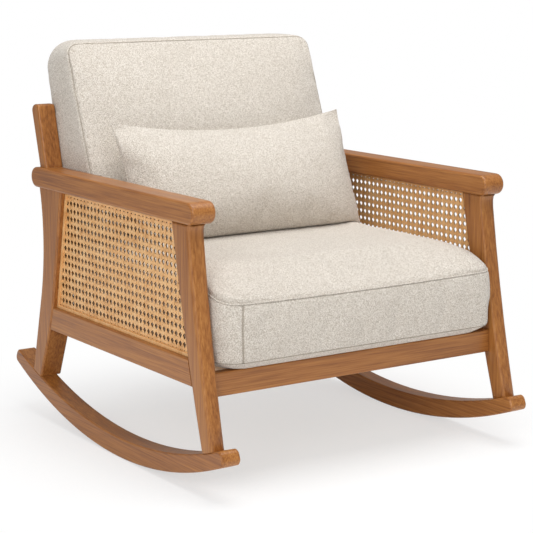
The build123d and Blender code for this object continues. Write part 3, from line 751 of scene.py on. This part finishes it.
def seat_place(u, v, ring, rim):
    """A place on the seat cover: crowned above, boxed round the sides, wider in front than behind."""
    past_seam = round((u + 1) * seat_columns / 2) - seat_seam_column
    if abs(past_seam) < 2:
        u = seat_corner_seam + seam_pinch * past_seam
    middle, half_deep = (seat_front + seat_rear) / 2, (seat_rear - seat_front) / 2
    back_share = max(0.0, min(1.0, (v - seat_taper_start) / seat_taper_run))
    half = seat_half_front + (seat_half_rear - seat_half_front) * back_share
    corner = seat_rear_corner if v > 0 else seat_near_corner if u < 0 else seat_far_corner
    x, y = rounded(u, v, half, half_deep, corner)
    y += middle
    dip = seat_dip * ((1 - u * u) * max(0.0, -v) ** 4 + (1 - v * v) * abs(u) ** 4)
    behind_corner = ease((y - seat_front) / seat_lift_run)
    dip -= seat_rear_lift * max(0.0, v) + seat_side_lift * behind_corner * abs(u) ** 6
    if ring == 0:
        front, rear, side = y - seat_front, seat_rear - y, half - abs(x)
        full = round_rise(front / seat_reach) * round_rise(rear / seat_rear_reach)
        rise = 0.0 if rim else seat_crown * (full * round_rise(side / seat_side_reach))
        return Vector((x, y, seat_top_seam - dip + rise))
    if ring > seat_low_ring:
        share = seat_turn_ring if ring == seat_low_ring + 1 else 1.0
        x -= seat_turn * share * u
        y -= seat_turn * share * v
        return Vector((x, y, seat_low_seam + (seat_under - seat_low_seam) * share))
    share = seat_ring_shares[ring]
    swell = (seat_swell + (seat_rear_swell - seat_swell) * back_share) * 4 * share * (1 - share)
    out = Vector((x, y - middle)).normalized()
    height = seat_top_seam + (seat_low_seam - seat_top_seam) * share - dip * (1 - share)
    return Vector((x + out.x * swell, y + out.y * swell, height))


seat = cushion_blank("seat_cushion_cover", seat_columns, 56, seat_low_ring + 2, 0.008)
seat_marks = shape(seat, seat_place)


def seat_hold(index):
    u, v, ring, rim = seat_marks[index]
    return 1.0 if ring >= seat_low_ring or (rim and ring == 0) else 0.0


def seat_seam(index):
    return seat_marks[index][3] and seat_marks[index][2] == 0


def seat_foot_seam(index):
    return seat_marks[index][3] and seat_marks[index][2] == seat_low_ring


def seat_lip(index):
    u, v, ring, rim = seat_marks[index]
    return ring == 0 and not rim and max(abs(u), abs(v)) > lip_from


def seat_upright_seam(index):
    u, v, ring, rim = seat_marks[index]
    column = round((u + 1) * seat_columns / 2)
    return rim and 0 < ring < seat_low_ring and column == seat_seam_column and v < 0


def seat_swell_cap(index):
    u, v, ring, rim = seat_marks[index]
    if ring == 0:
        return seat_cap
    return seat_side_cap if v < seat_rear_from else seat_rear_cap


inflate(seat, seat_hold, seat_growth, seat_swell_cap)
seat_edge = round_the_rim(seat, seat_marks, 0, -seat_welt_depth)
seat_foot_line = round_the_rim(seat, seat_marks, seat_low_ring, -seat_foot_depth)
upright = [i for i in range(len(seat_marks)) if seat_upright_seam(i)]
upright.sort(key=lambda i: seat_marks[i][2])
upright_line = [seat.data.vertices[i].co - seat.data.vertices[i].normal * seat_corner_depth for i in upright]
raise_seam(seat, (
    (seat_seam, -seat_seam_sink),
    (seat_foot_seam, -seat_foot_sink),
    (seat_lip, lip_rise),
    (seat_upright_seam, -seat_corner_sink),
))
seam_cord("seat_top_welt", seat_edge, "seat_cushion", seat_welt_radius, cover_cloth)
# The foot and corner threads are darkened partly as painted shade in the seam creases.
seam_cord("seat_foot_thread", seat_foot_line, "seat_cushion", seat_foot_radius, seam_thread)
seam_cord("seat_corner_thread", upright_line, "seat_cushion", seat_corner_radius, seam_thread, closed=False)
cover_finish(seat, "seat_cushion", 0.8, "seat_cover", "seat_foam")

# Back cushion
back_half_rear, back_half_front = 0.3065, 0.2970
back_rear_corner, back_front_corner, back_foot_corner = 0.066, 0.026, 0.014
back_rear_foot, back_rear_lean = Vector((0, 0.2436, 0.3680)), radians(14.036)
back_front_foot, back_front_lean = Vector((-0.008, 0.1090, 0.4145)), radians(20.86)
back_top = 0.7875
back_crown, back_reach = 0.014, 0.15
back_swell = 0.001
back_rear_round = 0.001
back_growth = 0.010
back_cap, back_side_cap = 0.022, 0.0015
back_thread_radius, back_thread_depth = 0.0007, 0.0026
back_seam_sink = 0.0050
back_ring_shares = (1, 0.982, 0.88, 0.78, 0.68, 0.58, 0.48, 0.38, 0.28, 0.18, 0.1, 0.03, 0.012)


def back_half(share):
    return back_half_rear + (back_half_front - back_half_rear) * share


def back_point(u, v, share, forward):
    """A place in the back cushion: across, up, rear (0) to front seam (1), and forward of that."""
    foot = back_rear_foot.lerp(back_front_foot, share)
    lean = back_rear_lean + share * (back_front_lean - back_rear_lean)
    height = (back_top - foot.z) / cos(lean)
    corner = back_rear_corner + share * (back_front_corner - back_rear_corner) if v > 0 else back_foot_corner
    x, up = rounded(u, v, back_half(share), height / 2, corner)
    up += height / 2
    return foot + Vector((x, up * sin(lean) - forward * cos(lean), up * cos(lean) + forward * sin(lean)))


def back_place(u, v, ring, rim):
    if ring == 0:
        side = back_half_front * (1 - abs(u))
        height = (back_top - back_front_foot.z) / cos(back_front_lean)
        up = height * (1 - abs(v)) / 2
        rise = 0.0 if rim else back_crown * round_rise(side / back_reach) * round_rise(up / back_reach)
        return back_point(u, v, 1, rise)
    if ring >= len(back_ring_shares):
        shrink = 1 - back_rear_round / back_half_rear
        return back_point(u * shrink, v * shrink, 0, 0)
    share = back_ring_shares[ring]
    spot = back_point(u, v, share, 0)
    swell = back_swell * 4 * share * (1 - share)
    return spot + Vector((swell * u ** 5, 0, swell * max(0.0, v) ** 5))


back = cushion_blank("back_cushion_cover", 54, 38, len(back_ring_shares), 0.009)
back_marks = shape(back, back_place)


def back_hold(index):
    u, v, ring, rim = back_marks[index]
    return 1.0 if ring >= len(back_ring_shares) or (rim and ring == 0) else 0.0


def back_seam(index):
    return back_marks[index][3] and back_marks[index][2] == 0


def back_lip(index):
    u, v, ring, rim = back_marks[index]
    return ring == 0 and not rim and max(abs(u), abs(v)) > lip_from


inflate(back, back_hold, back_growth, lambda i: back_cap if back_marks[i][2] == 0 else back_side_cap)
rest_on(back, seat)
back_line = round_the_rim(back, back_marks, 0, -back_thread_depth)
raise_seam(back, ((back_seam, -back_seam_sink), (back_lip, lip_rise)))
# The back seam thread is darkened partly as painted shade in the seam crease.
seam_cord("back_seam_thread", back_line, "back_cushion", back_thread_radius, seam_thread)
cover_finish(back, "back_cushion", 0.7, "back_cover", "back_foam")

# Lumbar pillow
pillow_foot = Vector((0.000, 0.0160, 0.3930))
pillow_lean = back_front_lean
pillow_wide, pillow_tall = 0.536, 0.260
pillow_half = 0.050
pillow_top_draw, pillow_side_draw = 0.028, 0.003
pillow_ear = 0.0070  # how much the top corners stand out, and lean to the left
pillow_rear_share = 0.8  # fullness behind, against that in front
pillow_growth, pillow_cap = 0.015, 0.022
pillow_welt_radius, pillow_welt_depth = 0.0013, 0.0016


def pillow_place(u, v, ring, rim):
    """Two panels sewn round the edge: full near the foot, drawn in between pointed corners."""
    share = (v + 1) / 2
    ear = pillow_ear * share ** 2
    x = u * (pillow_wide / 2 - pillow_side_draw * (1 - v * v) + ear) - ear
    up = share * (pillow_tall - pillow_top_draw * (1 - u * u) * share)
    full = (max(0.0, share) ** 0.35 * max(0.0, 1 - share) ** 0.62) / 0.5
    bulge = 0.0 if rim else pillow_half * full * (1 - u ** 4) ** 0.6
    forward = bulge if ring == 0 else -pillow_rear_share * bulge
    out = up * sin(pillow_lean) - forward * cos(pillow_lean)
    return pillow_foot + Vector((x, out, up * cos(pillow_lean) + forward * sin(pillow_lean)))


pillow = cushion_blank("lumbar_pillow_cover", 56, 30, 1, 0.012)
pillow_marks = shape(pillow, pillow_place)
pillow_rim = round_the_rim(pillow, pillow_marks, 0, 0.0)
edit(pillow)
bpy.ops.mesh.remove_doubles(threshold=0.00005)
bpy.ops.mesh.normals_make_consistent(inside=False)
done()
pillow_edge = {tuple(round(c, 5) for c in spot) for spot in pillow_rim}
pillow_starts = [vertex.co.copy() for vertex in pillow.data.vertices]


def pillow_hold(index):
    return 1.0 if tuple(round(c, 5) for c in pillow_starts[index]) in pillow_edge else 0.0


inflate(pillow, pillow_hold, pillow_growth, lambda i: pillow_cap)
rest_on(pillow, seat)
pillow.data.update()
pillow_middle = pillow_foot.z + pillow_tall * cos(pillow_lean) / 2
pillow_sewn = [v for v in pillow.data.vertices if pillow_hold(v.index) > 0]
pillow_sewn.sort(key=lambda v: atan2(v.co.z - pillow_middle, v.co.x - pillow_foot.x))
pillow_line = [v.co - v.normal * pillow_welt_depth for v in pillow_sewn]
seam_cord("pillow_welt", pillow_line, "lumbar_pillow", pillow_welt_radius, cover_cloth)
cover_finish(pillow, "lumbar_pillow", 0.65, "pillow_cover", "pillow_fill")
